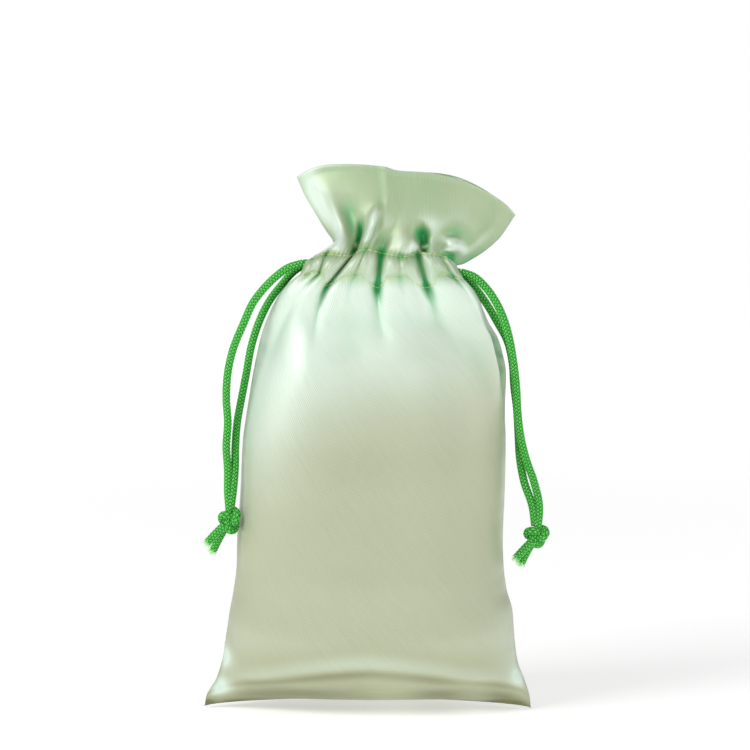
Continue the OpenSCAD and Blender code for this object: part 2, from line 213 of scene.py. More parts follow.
# Sharp edges of the ruffle, with a long slope to one side: the same, with the slope to the right, or
# to the left where the width is below zero.
FRONT_EDGES = [
    (.567, .49, .415, .12, .55, -.3, 1.5), (.76, .60, .56, -.06, 2.0, -.3, .36),
    (.45, .45, .45, -.04, 1.1, -.2, .34),
]
BACK_FOLDS = [
    (.14, .10, .08, .060, 2.0, -.2, 1.5), (.22, .19, .18, .050, -3.0, -.1, 1.2),
    (.32, .31, .30, .050, 2.4, -.2, 1.5), (.44, .42, .41, .035, -4.0, -.3, .8),
    (.53, .53, .53, .060, 2.2, -.1, 1.5), (.62, .63, .63, .024, -3.4, -.3, .6),
    (.70, .71, .71, .060, 2.0, -.2, 1.5), (.79, .80, .80, .032, -3.8, -.3, .7),
    (.88, .90, .91, .050, 2.2, -.2, 1.5),
]
BACK_EDGES = [(.50, .50, .50, .08, 1.2, -.3, 1.5), (.74, .70, .68, -.06, 1.6, -.3, .5)]
# Dents and swells of the filled body: share of the cut, length of cloth, width, height, how far they
# stand out.
FRONT_SWELLS = [
    (.28, 138, .10, 16, 1.6), (.62, 142, .08, 14, 1.3), (.46, 146, .07, 14, -1.3), (.80, 140, .07, 15, -1.0),
    (.90, 128, .05, 12, .9), (.13, 150, .04, 10, -.9), (.20, 90, .12, 30, .8), (.70, 70, .16, 34, .7),
    (.45, 105, .14, 26, -.6), (.15, 34, .10, 14, .8), (.80, 34, .12, 14, .6), (.07, 22, .03, 9, .8),
    (.94, 26, .03, 9, .6),
]
BACK_SWELLS = [
    (.30, 136, .09, 16, 1.4), (.52, 144, .08, 14, -1.2), (.68, 138, .09, 16, 1.4), (.20, 80, .12, 30, .7),
    (.60, 96, .14, 26, -.7), (.78, 60, .14, 34, .7), (.40, 30, .12, 12, .6),
]
# Painted highlights on faces of the front ruffle that lie open to the light, and painted shade where the
# strength is below zero: share of the cut, share of the height, width, reach, strength.
RUFFLE_PAINTED_LIGHT_AND_SHADE = [
    (.05, .70, .05, .42, .75), (.12, .28, .06, .24, .8), (.885, .32, .065, .075, .95),
    (.42, .32, .035, .12, .45), (.93, .06, .03, .06, -.7), (.26, .38, .05, .24, -.22),
    (.33, .20, .03, .16, -.4), (.66, .18, .03, .12, -.3),
]
# Painted highlights on the front of the body, the same way, with the length of cloth.
BODY_PAINTED_HIGHLIGHTS = [
    (.07, 25, .05, 4, .9), (.10, 11, .07, 5, 1.0), (.92, 17, .05, 4, .7), (.95, 100, .03, 30, .25),
    (.92, 26, .09, 28, .22), (.02, 75, .02, 40, .2),
]
# Rolls and dents lying across the front ruffle: share of the cut, share of the height, width, reach,
# how far they stand out.
FRONT_ROLLS = [(.885, .31, .065, .05, 2.4), (.93, .12, .045, .06, -2.0), (.42, .16, .035, .06, 1.0)]

# A panel's cloth: its width, then its length up the body, across the casing, up the ruffle, and
# turned under at the facing's foot. The facing takes up the casing's and the ruffle's length again.
CUT_WIDTH = 122
BODY_CLOTH, CASING_CLOTH, RUFFLE_CLOTH, TURNED_UNDER = 172, 12, 34, 3
# How high the ruffle stands for its small folds, and the radius of the fold at its rim.
RUFFLE_HEIGHT = 30
FOLD_RADIUS = .35
# The least distance of the two panels' cloth from the middle plane on the body, and at the ruffle.
BODY_LEAST, RUFFLE_LEAST = .14, .4
# The crease over the bottom seam: length of cloth below it at the sides, and how much more in the middle.
CREASE_START, CREASE_ARCH = 4, 24
# How near the casing's outer layer comes to the middle plane, and where its facing stands.
CHANNEL_FRONT, CHANNEL_BACK = 10.95, 6.9
# The facing's width at the casing as a share of the neck's.
FACING_SHARE = .75
# The painted fold shade: each point's depth is measured against the cloth this far around it, and the painted
# shade is full at this depth.
HOLLOW_ALONG, HOLLOW_ACROSS, HOLLOW_DEPTH = 7, 4.7, 2.6
# Painted shading of the rim and the facing: a painted highlight along the rim fold, and a little painted
# shade on the facing.
RIM_PAINTED_HIGHLIGHT, FACING_PAINTED_SHADE = -.35, .1
# Which way each panel faces, and how many columns of points its mesh has.
CLOTH_SIDES = {"front": -1, "back": 1}
CLOTH_COLUMNS = 261


def curve(knots, at, monotone=True):
    """Values at the given places on a smooth curve through rows of place and value."""
    knots = np.asarray(knots, float)
    at = np.asarray(at, float)
    place, value = knots[:, 0], knots[:, 1:]
    gap = np.diff(place)[:, None]
    slope = np.diff(value, axis=0) / gap
    before, after = slope[:-1], slope[1:]
    if monotone:
        total = np.where(before * after > 0, before + after, 1)
        inner = np.where(before * after > 0, 2 * before * after / total, 0)
    else:
        share = gap[1:] / (gap[:-1] + gap[1:])
        inner = share * before + (1 - share) * after
    tangent = np.vstack([slope[:1], inner, slope[-1:]])
    flat = at.ravel()
    i = np.clip(np.searchsorted(place, flat, side="right") - 1, 0, len(gap) - 1)
    t = np.clip((flat - place[i]) / gap[i, 0], 0, 1)[:, None]
    step = gap[i]
    found = (
        (1 + 2 * t) * (1 - t) ** 2 * value[i] + t * (1 - t) ** 2 * step * tangent[i]
        + t * t * (3 - 2 * t) * value[i + 1] - t * t * (1 - t) * step * tangent[i + 1]
    )
    return found[:, 0].reshape(at.shape) if value.shape[1] == 1 else found.reshape(*at.shape, -1)


def eased(x, low, high):
    """0 below low, 1 above high and a smooth step between them."""
    t = np.clip((x - low) / (high - low), 0, 1)
    return t * t * (3 - 2 * t)


def bump(x, width):
    """A rounded hill, 1 in its middle."""
    return np.exp(-((x / width) ** 2))


def crease(x, width):
    """A fold with a tight bottom and long flanks."""
    return np.exp(-np.sqrt(x * x + (width * .35) ** 2) / width + .35)


def one_sided(x, width):
    """An edge that falls off at once on one side and slowly on the other."""
    x = x * np.sign(width)
    width = abs(width)
    return np.where(x > 0, np.exp(-np.maximum(x, 0) / width), np.exp(-((x / (.24 * width)) ** 2)))


def gathers(u, down, grooves):
    """How far the gathers pull the cloth in, at a distance below the casing's lower stitching."""
    pulled = np.zeros(np.broadcast(u, down).shape)
    for place, width, depth, reach in grooves:
        pulled += depth * np.exp(-down / reach) * crease(u - place, width * (1 + down / 14))
    return pulled


def swells(u, s, table):
    """The sum of a table's rounded hills at places across and up the cloth."""
    out = np.zeros(np.broadcast(u, s).shape)
    for across_at, up_at, width, height, stand in table:
        out += stand * bump(u - across_at, width) * bump(s - up_at, height)
    return out


def neck_place(u, row):
    """Places across the neck, at its lower (1) or its upper (2) row of stitching."""
    return curve([(knot[0], knot[row]) for knot in NECK], u)


def ripples(u, s):
    """Small puckers along the side seams and the bottom seam."""
    left, right = u * CUT_WIDTH, (1 - u) * CUT_WIDTH
    lift = .34 * np.exp(-left / 4.5) * np.sin(s * .83 + 1.1 * np.sin(s * .19))
    lift += .42 * np.exp(-right / 5.5) * np.sin(s * .71 + 1.4 * np.sin(s * .23) + 2)
    lift += .22 * np.exp(-s / 7) * np.sin(u * 61 + 1.5 * np.sin(u * 17))
    return lift


def above_crease(u, s):
    """How much cloth lies between a point and the crease that arches over the bottom seam."""
    return s - CREASE_START - CREASE_ARCH * (1 - np.abs(2 * u - 1) ** 1.5)


def side_closing(u, s):
    """How far the section is open at its sides, where the seams stop below the casing."""
    from_side = np.minimum(u, 1 - u) / .08
    rounded = (1 - np.maximum(0, 1 - from_side) ** 2.4) ** (1 / 2.4)
    opened = eased(s, 156, BODY_CLOTH) ** 1.3
    return rounded + (1 - rounded) * opened


def body_cloth(u, s, side):
    """Points of one panel between the bottom seam and the lower casing stitching."""
    grooves, table = (FRONT_GROOVES, FRONT_SWELLS) if side < 0 else (BACK_GROOVES, BACK_SWELLS)
    across = np.sin(np.radians(90) * (2 * u - 1))
    power = curve(SECTION, s)
    arch = np.maximum(0, 1 - np.abs(across) ** power) ** (1 / power)
    middle = curve(MIDDLE, s)
    side_z = curve(SIDE, s)
    z = side_z + (middle[..., 0] - side_z) * arch
    row_x = neck_place(u, 1)
    flat_top = SIDE[-1][1] + (MIDDLE[-1][1] - SIDE[-1][1]) * arch
    z = z + eased(s, 146, BODY_CLOTH) * (curve(LOWER_ROW, row_x) - flat_top)
    edges = curve(OUTLINE, z)
    left, right = edges[..., 0], edges[..., 1]
    neck = eased(s, 108, BODY_CLOTH)
    gathered = (row_x - NECK[0][1]) / (NECK[-1][1] - NECK[0][1])
    share = (1 - neck) * (across + 1) / 2 + neck * gathered
    down = BODY_CLOTH - s
    standing = curve(PUFFS, u) * side_closing(u, s)
    depth = middle[..., 1] * arch
    depth = depth + eased(s, 138, BODY_CLOTH) * (standing - depth)
    inner = eased(np.minimum(u, 1 - u), 0, .07)
    depth = depth - gathers(u, down, grooves) * inner
    depth = depth + swells(u, s, table) * inner + ripples(u, s) * eased(down, 0, 20)
    over = above_crease(u, s)
    depth = depth + arch * (.7 * bump(over - 4, 3.5) - .9 * bump(over, 1.6) - .4 * bump(over + 6, 3))
    at_seam = bump(z - 128, 16)
    forward = 8.5 * bump(u - 1, .12) * at_seam
    x = left + (right - left) * share - 4 * bump(u - 1, .09 if side < 0 else .025) * at_seam
    return np.stack([x, side * np.maximum(depth, BODY_LEAST) - forward, z], -1)


def casing_cloth(u, t, side):
    """Points of one panel between the two rows of casing stitching."""
    grooves = FRONT_GROOVES if side < 0 else BACK_GROOVES
    low, high = neck_place(u, 1), neck_place(u, 2)
    x = low + (high - low) * t
    z = curve(LOWER_ROW, low) * (1 - t) + curve(UPPER_ROW, high) * t
    puffed = curve(PUFFS, u)
    standing = puffed - gathers(u, np.zeros_like(t), grooves)
    inner = eased(np.minimum(u, 1 - u), 0, .06)
    swelling = 1.5 * np.sin(np.pi * t) * inner
    pulled = .8 * (bump(t, .12) + bump(t - 1, .12)) * inner
    puckers = .22 * np.sin(u * CUT_WIDTH * 2.1) * (bump(t, .3) + bump(t - 1, .3)) * inner
    depth = np.maximum(standing + swelling - pulled + puckers, CHANNEL_FRONT)
    return np.stack([x, side * depth, z], -1)


def ruffle_cloth(u, r, side):
    """Points of one panel between the upper casing stitching and the rim."""
    grooves, folds, edges = (
        (FRONT_GROOVES, FRONT_FOLDS, FRONT_EDGES) if side < 0 else (BACK_GROOVES, BACK_FOLDS, BACK_EDGES)
    )
    foot_x = neck_place(u, 2)
    foot = np.stack([foot_x, curve(PUFFS, u), curve(UPPER_ROW, foot_x)], -1)
    across_and_up = curve(RIM, u)
    mouth = RUFFLE_LEAST + 7.6 * np.maximum(0, 1 - np.abs(2 * u - 1) ** 2.4)
    raised = 1.5 * bump(u - .72, .16) if side > 0 else 0
    rim = np.stack([across_and_up[..., 0], mouth, across_and_up[..., 1] + raised], -1)
    left = curve(LEFT_EDGE if side < 0 else BACK_LEFT_EDGE, r)
    right = curve(RIGHT_EDGE, r)
    up, over = r[..., None], u[..., None]
    points = (1 - up) * foot + up * rim
    points = points + (1 - over) ** 5 * (left - points[:, :1]) + over ** 5 * (right - points[:, -1:])
    inner = eased(np.minimum(u, 1 - u), 0, .08)
    height = RUFFLE_HEIGHT * r
    lift = -.55 * bump(height, 1.4)
    for place, width, depth, _ in grooves:
        lift = lift - depth * np.exp(-height / 6) * crease(u - place, width * (1 + height / 10))
    for table, profile in ((folds, bump), (edges, one_sided)):
        for foot_at, middle_at, rim_at, width, stand, start, stop in table:
            path = (
                foot_at * (1 - r) * (1 - 2 * r) + middle_at * 4 * r * (1 - r) + rim_at * r * (2 * r - 1)
            )
            seen = eased(r, start, start + .22) * (1 - eased(r, stop - .25, stop))
            lift = lift + stand * seen * profile(u - path, width)
    lift = lift + .2 * np.sin(u * 256) * bump(height, 2.2) + .3 * eased(r, .955, .975)
    if side < 0:
        lift = lift + swells(u, r, FRONT_ROLLS)
    nearest = RUFFLE_LEAST + 5 * (1 - eased(r, 0, .5)) * inner
    points[..., 1] = side * np.maximum(points[..., 1] + lift * inner, nearest)
    return points


def outward(points, side):
    """The directions in which the outer side of a grid of cloth faces."""
    facing = np.cross(np.gradient(points, axis=1), np.gradient(points, axis=0))
    facing /= np.maximum(np.linalg.norm(facing, axis=-1, keepdims=True), 1e-9)
    return -side * facing


def softened(values, rows, columns):
    """A grid of values averaged over that many rows and columns to each side."""
    for axis, reach in ((0, rows), (1, columns)):
        pads = [(0, 0)] * values.ndim
        pads[axis] = (reach, reach)
        padded = np.cumsum(np.pad(values, pads, mode="edge"), axis=axis)
        first = np.take(padded, [0], axis=axis) * 0
        padded = np.concatenate([first, padded], axis=axis)
        size = 2 * reach + 1
        count = values.shape[axis]
        values = (
            np.take(padded, range(size, size + count), axis=axis)
            - np.take(padded, range(count), axis=axis)
        ) / size
    return values


def facing_rows(u, ruffle, casing, side):
    """The turned-in layer, from the rim down behind the cords to the lower stitching."""
    rows = ruffle.shape[0]
    r = np.linspace(0, 1, rows)[:, None]
    inside = ruffle - outward(softened(ruffle, 2, 2), side) * .7
    middle_x = (NECK[0][1] + NECK[-1][1]) / 2
    behind = casing.copy()
    behind[..., 0] = middle_x + (behind[..., 0] - middle_x) * FACING_SHARE
    behind[..., 1] = side * (CHANNEL_BACK + .25 * np.sin(u[:1] * 60))
    settling = eased(r, .04, .2)[..., None]
    start = behind[-1:] + np.array([0, 0, .6])
    upper = start + (inside - inside[:1]) * np.array([FACING_SHARE, 0, 1])
    upper[..., 1] = side * (CHANNEL_BACK + 2 * eased(r, 0, .1))
    down = inside * settling + upper * (1 - settling)
    steps_under = np.array([[0, 0, -1.2], [0, side * 1.6, -2.6], [0, side * 3.4, -3.2]])
    tucked = behind[0] + steps_under[:, None]
    return np.concatenate([down[::-1][1:], behind[::-1][1:], tucked])


def row_share(grid):
    """How far up its grid each row of points lies, from 0 to 1."""
    return np.linspace(0, 1, grid.shape[0])[:, None, None]


def rim_fold(outside, side):
    """The rows of cloth that turn over at the rim."""
    upward = outside[-1] - np.mean(outside[-3:-1], axis=0)
    upward /= np.linalg.norm(upward, axis=-1, keepdims=True)
    inward = -outward(outside, side)[-1]
    return np.stack([
        outside[-1] + FOLD_RADIUS * (inward * (1 - np.cos(a)) + upward * np.sin(a))
        for a in np.radians((45, 90, 135, 180))
    ])


def hollows(outside, side, step):
    """Painted shading of the outer cloth by how far each point lies in a fold, from -1, a painted highlight
    on the crests, to 1, full painted shade deep in a fold; with painted shade under the crease and along the
    bottom seam, and painted highlights and shade on the front.
    """
    columns = outside.shape[1]
    share = np.linspace(0, 1, columns)
    body_rows, casing_rows = round(BODY_CLOTH / step) + 1, round(CASING_CLOTH / step)
    around = round(HOLLOW_ALONG / step), round(HOLLOW_ACROSS / CUT_WIDTH * (columns - 1))
    depth = side * outside[..., 1]
    painted_shading = np.clip((softened(depth, *around) - depth) / HOLLOW_DEPTH, -1, 1)
    # Painted shade in the casing's grooves is deeper, and its painted highlights are weaker.
    sewn = slice(body_rows, body_rows + casing_rows)
    painted_shading[sewn] = np.where(painted_shading[sewn] > 0, 1.5 * painted_shading[sewn], .5 * painted_shading[sewn]) + .03
    u, s = np.meshgrid(share, np.linspace(0, BODY_CLOTH, body_rows))
    over = above_crease(u, s)
    # Painted shade under the crease and along the bottom seam, uneven across the width.
    shaded = .5 * (1 - eased(over, -9, 1)) + .9 * bump(s, 3) + .3 * bump(over, 1.8)
    shaded *= 1 + .45 * np.sin(u * 23 + 1.7 * np.sin(u * 9))
    painted_shading[:body_rows] = np.clip(painted_shading[:body_rows] * eased(s, 4, 40) + shaded, -1, 1)
    # A painted highlight along the rim.
    painted_shading[-1] = RIM_PAINTED_HIGHLIGHT
    if side < 0:
        # Painted highlights on the front of the body.
        painted_shading[:body_rows] -= swells(u, s, BODY_PAINTED_HIGHLIGHTS)
        ruffle_rows = round(RUFFLE_CLOTH / step) + 1
        u, r = np.meshgrid(share, np.linspace(0, 1, ruffle_rows))
        # The ruffle's painted shading weakens towards its rim.
        painted_shading[-ruffle_rows:] *= 1 - .6 * eased(r, .35, .65)
        # Painted highlights and painted shade on the front ruffle.
        painted_shading[-ruffle_rows:] -= swells(u, r, RUFFLE_PAINTED_LIGHT_AND_SHADE)
    return painted_shading


def cloth_grid(side, columns, step):
    """One panel with its casing, ruffle, rim fold and facing: points, and their place on the cut with their
    painted shading.
    """
    share = np.linspace(0, 1, columns)
    u, s = np.meshgrid(share, np.linspace(0, BODY_CLOTH, round(BODY_CLOTH / step) + 1))
    panel = body_cloth(u, s, side)
    u, t = np.meshgrid(share, np.linspace(0, 1, round(CASING_CLOTH / step) + 1))
    casing = casing_cloth(u, t, side)
    u, r = np.meshgrid(share, np.linspace(0, 1, round(RUFFLE_CLOTH / step) + 1))
    ruffle = ruffle_cloth(u, r, side)
    casing = casing + (panel[-1] - casing[0]) * (1 - row_share(casing))
    ruffle = ruffle + (casing[-1] - ruffle[0]) * np.exp(-9 * row_share(ruffle) / .35)
    outside = np.concatenate([panel, casing[1:], ruffle[1:]])
    turned = np.concatenate([rim_fold(outside, side), facing_rows(u, ruffle, casing, side)])
    points = np.concatenate([outside, turned])
    # A little painted shade on the facing, and a painted highlight on the rim fold.
    turned_painted_shading = np.full(turned.shape[:2], FACING_PAINTED_SHADE)
    turned_painted_shading[0] = RIM_PAINTED_HIGHLIGHT
    across, length = np.meshgrid(share * CUT_WIDTH * MM, np.arange(1, len(points) + 1) * step * MM)
    cut = np.stack([across, length, np.concatenate([hollows(outside, side, step), turned_painted_shading])], -1)
    return points * MM, cut


# ---------------------------------------------------------------- meshes

def build(name, points, faces, finish, point_values=None):
    """A smooth-shaded mesh object with its finish, and values kept on its points."""
    mesh = bpy.data.meshes.new(name)
    mesh.from_pydata(np.asarray(points).tolist(), [], faces)
    mesh.validate()
    mesh.shade_smooth()
    for key, values in (point_values or {}).items():
        values = np.asarray(values, np.float32)
        kind = "FLOAT" if values.ndim == 1 else "FLOAT_VECTOR"
        kept = mesh.attributes.new(key, kind, "POINT")
        kept.data.foreach_set("value" if values.ndim == 1 else "vector", values.ravel())
    mesh.materials.append(finish)
    made = bpy.data.objects.new(name, mesh)
    bpy.context.scene.collection.objects.link(made)
    return made


def grid_faces(rows, columns, start=0, wrapped=False, turned=False):
    """Four-sided faces over a grid of points numbered row by row."""
    i, j = np.meshgrid(np.arange(rows - 1), np.arange(columns if wrapped else columns - 1), indexing="ij")
    k = (j + 1) % columns
    corners = np.stack([i * columns + j, i * columns + k, (i + 1) * columns + k, (i + 1) * columns + j], -1)
    corners = corners.reshape(-1, 4) + start
    return (corners[:, ::-1] if turned else corners).tolist()


def thick_sheet(points, thickness, side):
    """A closed sheet from its outer grid: points and faces."""
    rows, columns = points.shape[:2]
    count = rows * columns
    under = points - outward(points, side) * thickness
    faces = grid_faces(rows, columns, turned=side > 0) + grid_faces(rows, columns, count, turned=side < 0)
    ring = (
        [(0, j) for j in range(columns - 1)] + [(i, columns - 1) for i in range(rows - 1)]
        + [(rows - 1, j) for j in range(columns - 1, 0, -1)] + [(i, 0) for i in range(rows - 1, 0, -1)]
    )
    loop = [i * columns + j for i, j in ring]
    for a, b in zip(loop, loop[1:] + loop[:1]):
        wall = [b, a, a + count, b + count]
        faces.append(wall if side < 0 else wall[::-1])
    return np.concatenate([points.reshape(-1, 3), under.reshape(-1, 3)]), faces


def lengths_along(line):
    """How far along a line each of its points lies."""
    return np.concatenate([[0], np.cumsum(np.linalg.norm(np.diff(line, axis=0), axis=1))])


def along(points, step, closed=False):
    """A smooth line through the points with a point every step."""
    points = np.asarray(points, float)
    if closed:
        points = np.concatenate([points[-3:], points, points[:4]])
    reach = lengths_along(points)
    knots = np.column_stack([reach, points])
    first, last = (reach[3], reach[-4]) if closed else (0, reach[-1])
    count = max(2, round((last - first) / step))
    return curve(knots, np.linspace(first, last, count + 1), monotone=False)


def cross_frames(line):
    """Two directions across a line at each of its points, carried along it without twist."""
    heading = np.gradient(line, axis=0)
    heading /= np.linalg.norm(heading, axis=1, keepdims=True)
    start = np.array([0, 1, 0]) if abs(heading[0, 1]) < .8 else np.array([0, 0, 1])
    one = []
    for way in heading:
        start = start - way * (start @ way)
        start = start / np.linalg.norm(start)
        one.append(start)
    one = np.array(one)
    return one, np.cross(heading, one)


def braid_stand(length, angle, pitch):
    """How proud a round braid stands, from 0 in its gaps to 1 on its yarns."""
    column = angle * BRAID_COLUMNS / (2 * np.pi)
    slant = 2 * np.abs(column - np.floor(column) - .5)
    yarn = .5 + .5 * np.cos(2 * np.pi * (length / pitch - .8 * slant + .5 * (np.floor(column) % 2)))
    spine = np.exp(-((slant / .2) ** 2))
    between = np.exp(-(((1 - slant) / .22) ** 2))
    return yarn ** 1.1 * (1 - .35 * spine - .8 * between)


def braided(line, radius, pitch, around=CORD_SIDES, closed=False):
    """A round braided cord along a line: points, faces and how proud each point stands."""
    one, two = cross_frames(line)
    length = lengths_along(line)
    angle = np.arange(around) * 2 * np.pi / around
    stand = braid_stand(length[:, None], angle[None], pitch)
    out = radius - BRAID_RELIEF * (1 - stand)
    ring = np.cos(angle)[None, :, None] * one[:, None] + np.sin(angle)[None, :, None] * two[:, None]
    points = line[:, None] + out[..., None] * ring
    rows = len(line)
    faces = grid_faces(rows, around, wrapped=True)
    if closed:
        points, stand = points[:-1], stand[:-1]
        rows -= 1
        faces = grid_faces(rows, around, wrapped=True)
        last = (rows - 1) * around
        turn = turn_between(points[-1], points[0])
        faces += [
            [last + k, last + (k + 1) % around, (k + 1 + turn) % around, (k + turn) % around]
            for k in range(around)
        ]
    else:
        faces += [list(range(around))[::-1], [(rows - 1) * around + k for k in range(around)]]
    return points.reshape(-1, 3), faces, stand.ravel()


def turn_between(ring, other):
    """By how many points the second ring has turned against the first."""
    gaps = [np.linalg.norm(ring - np.roll(other, -k, axis=0)) for k in range(len(ring))]
    return int(np.argmin(gaps))


def joined(parts):
    """Several meshes as one: points, faces and values."""
    points, faces, values, start = [], [], [], 0
    for part_points, part_faces, part_values in parts:
        points.append(part_points)
        values.append(part_values)
        faces += [[start + k for k in face] for face in part_faces]
        start += len(part_points)
    return np.concatenate(points), faces, np.concatenate(values)


def fibre(line, radii, sides=5):
    """A thin round thread along a line, with a radius at each point."""
    one, two = cross_frames(line)
    angle = np.arange(sides) * 2 * np.pi / sides
    ring = np.cos(angle)[None, :, None] * one[:, None] + np.sin(angle)[None, :, None] * two[:, None]
    points = line[:, None] + np.asarray(radii)[:, None, None] * ring
    last = (len(line) - 1) * sides
    faces = grid_faces(len(line), sides, wrapped=True)
    faces += [list(range(sides))[::-1], [last + k for k in range(sides)]]
    return points.reshape(-1, 3), faces, np.ones(len(line) * sides)


# ---------------------------------------------------------------- finishes

class Nodes:
    """A material's nodes and the links between them."""

    def __init__(self, name):
        self.material = bpy.data.materials.new(name)
        self.material.use_nodes = True
        self.tree = self.material.node_tree
        self.shader = self.tree.nodes["Principled BSDF"]
        self.place = self.add("ShaderNodeTexCoord").outputs["Object"]

    def add(self, kind, inputs=None, **settings):
        """A node with its inputs linked or set."""
        node = self.tree.nodes.new(kind)
        for key, value in settings.items():
            setattr(node, key, value)
        for key, value in (inputs or {}).items():
            if isinstance(value, bpy.types.NodeSocket):
                self.tree.links.new(value, node.inputs[key])
            else:
                node.inputs[key].default_value = value
        return node

    def mixed(self, share, one, other):
        """Two colours mixed by a share."""
        node = self.add("ShaderNodeMix", {0: share, 6: one, 7: other}, data_type="RGBA")
        return node.outputs[2]

    def ramped(self, value, *stops):
        """A value turned to colours by stops of place and colour."""
        node = self.add("ShaderNodeValToRGB", {0: value})
        for spot, (place, colour) in zip((node.color_ramp.elements[0], node.color_ramp.elements[1]), stops):
            spot.position, spot.color = place, colour
        for place, colour in stops[2:]:
            node.color_ramp.elements.new(place).color = colour
        return node.outputs[0]

    def sum_of(self, *terms):
        """Values added up, each times its weight."""
        total = 0
        for value, weight in terms:
            inputs = {0: value, 1: weight, 2: total}
            total = self.add("ShaderNodeMath", inputs, operation="MULTIPLY_ADD").outputs[0]
        return total

    def times(self, value, factor):
        """A value times a factor, held between 0 and 1."""
        node = self.add("ShaderNodeMath", {0: value, 1: factor}, operation="MULTIPLY", use_clamp=True)
        return node.outputs[0]

    def ranged(self, value, first, last, start=0, end=1, smooth=False):
        """A value carried from one range to another and held at its ends."""
        node = self.add(
            "ShaderNodeMapRange",
            {"Value": value, "From Min": first, "From Max": last, "To Min": start, "To Max": end},
            interpolation_type="SMOOTHSTEP" if smooth else "LINEAR",
        )
        return node.outputs[0]

    def axis(self, vector, index):
        """One of a vector's three numbers."""
        return self.add("ShaderNodeSeparateXYZ", {0: vector}).outputs[index]

    def noise(self, vector, scale, detail=2):
        """Soft random patches."""
        node = self.add("ShaderNodeTexNoise", {"Vector": vector, "Scale": scale, "Detail": detail})
        return node.outputs["Fac"]

    def set(self, **sockets):
        """Link or set the shader's own sockets."""
        for key, value in sockets.items():
            socket = self.shader.inputs[key.replace("_", " ")]
            if isinstance(value, bpy.types.NodeSocket):
                self.tree.links.new(value, socket)
            else:
                socket.default_value = value


def satin_tone(nodes, cut, clouds, pale, deep, low, upper, under):
    """The satin's colour by its height, its folds and its patches, with painted light: painted shade lower on
    the body and towards its right, a darker painted tone on the ruffle, painted shade in the folds turning
    olive near the bottom, and painted highlights on the crests.
    """
    painted_shading = nodes.axis(cut, 2)
    height = nodes.axis(nodes.place, 2)
    across = nodes.axis(nodes.place, 0)
    # Painted shade: lower on the body and towards its right, the satin turns to the darker low colour.
    level = nodes.sum_of((height, 1), (across, -.38), (nodes.noise(nodes.place, 14, 1), .05))
    body = nodes.mixed(nodes.ranged(level, .10, .17, 1, 0, smooth=True), pale, low)
    # Painted shade: from the casing upward the satin takes the darker ruffle colour, in random patches mixed
    # with the low colour.
    ruffle = nodes.mixed(nodes.ranged(clouds, .42, .62, 0, .42), upper, low)
    tone = nodes.mixed(nodes.ranged(height, .152, .160, smooth=True), body, ruffle)
    # Painted highlights: the crests turn to the pale colour.
    tone = nodes.mixed(nodes.times(painted_shading, -1.6), tone, pale)
    # Painted shade: near the bottom the painted fold shade turns olive.
    deep = nodes.mixed(nodes.ranged(height, .03, .06, 1, 0), deep, under)
    # Painted shade: the deeper a fold, the more of its painted shade colour.
    return nodes.mixed(nodes.times(painted_shading, 1), tone, deep)


def satin_finish(name, pale, deep, low, upper, under):
    """Satin cloth: a pale gloss, fine slanting twill, painted shade deep in the folds and painted highlights
    on their crests.
    """
    nodes = Nodes(name)
    cut = nodes.add("ShaderNodeAttribute", attribute_name="cut").outputs["Vector"]
    flat = nodes.add("ShaderNodeVectorMath", {0: cut, 1: (1, 1, 0)}, operation="MULTIPLY").outputs[0]
    slant = {"Vector": flat, "Rotation": (0, 0, math.radians(-33))}
    slanted = nodes.add("ShaderNodeMapping", slant).outputs[0]
    twill = nodes.add(
        "ShaderNodeTexWave",
        {"Vector": slanted, "Scale": 450, "Distortion": 1.2, "Detail": 1, "Detail Scale": 1.5},
        bands_direction="X",
    ).outputs["Fac"]
    weft = {"Vector": flat, "Scale": 900, "Distortion": .8, "Detail": 1}
    yarns = nodes.add("ShaderNodeTexWave", weft, bands_direction="Y").outputs["Fac"]
    streaks = nodes.add("ShaderNodeMapping", {"Vector": slanted, "Scale": (900, 60, 1)}).outputs[0]
    slubs = nodes.noise(streaks, 1)
    clouds = nodes.noise(nodes.place, 28, 3)
    tone = satin_tone(nodes, cut, clouds, pale, deep, low, upper, under)
    lit = nodes.sum_of((twill, .5), (slubs, .3), (clouds, .2))
    shade = nodes.ramped(lit, (.2, (.80, .84, .80, 1)), (.75, (1, 1, 1, 1)))
    colour = nodes.add("ShaderNodeMix", {0: 1.0, 6: tone, 7: shade}, data_type="RGBA", blend_type="MULTIPLY")
    relief = nodes.sum_of((twill, .7), (yarns, .2), (slubs, .5))
    woven = nodes.add("ShaderNodeBump", {"Strength": .35, "Distance": .00006, "Height": relief}).outputs[0]
    wavy = nodes.noise(nodes.place, 90)
    crumpled = nodes.add(
        "ShaderNodeBump", {"Strength": .25, "Distance": .0008, "Height": wavy, "Normal": woven}
    )
    rough = nodes.ranged(slubs, 0, 1, .40, .50)
    nodes.set(Base_Color=colour.outputs[2], Roughness=rough, Normal=crumpled.outputs[0])
    nodes.set(Specular_IOR_Level=.6, Metallic=.2)
    nodes.set(Sheen_Weight=.1, Sheen_Roughness=.4, Sheen_Tint=(.9, 1, .92, 1))
    return nodes.material


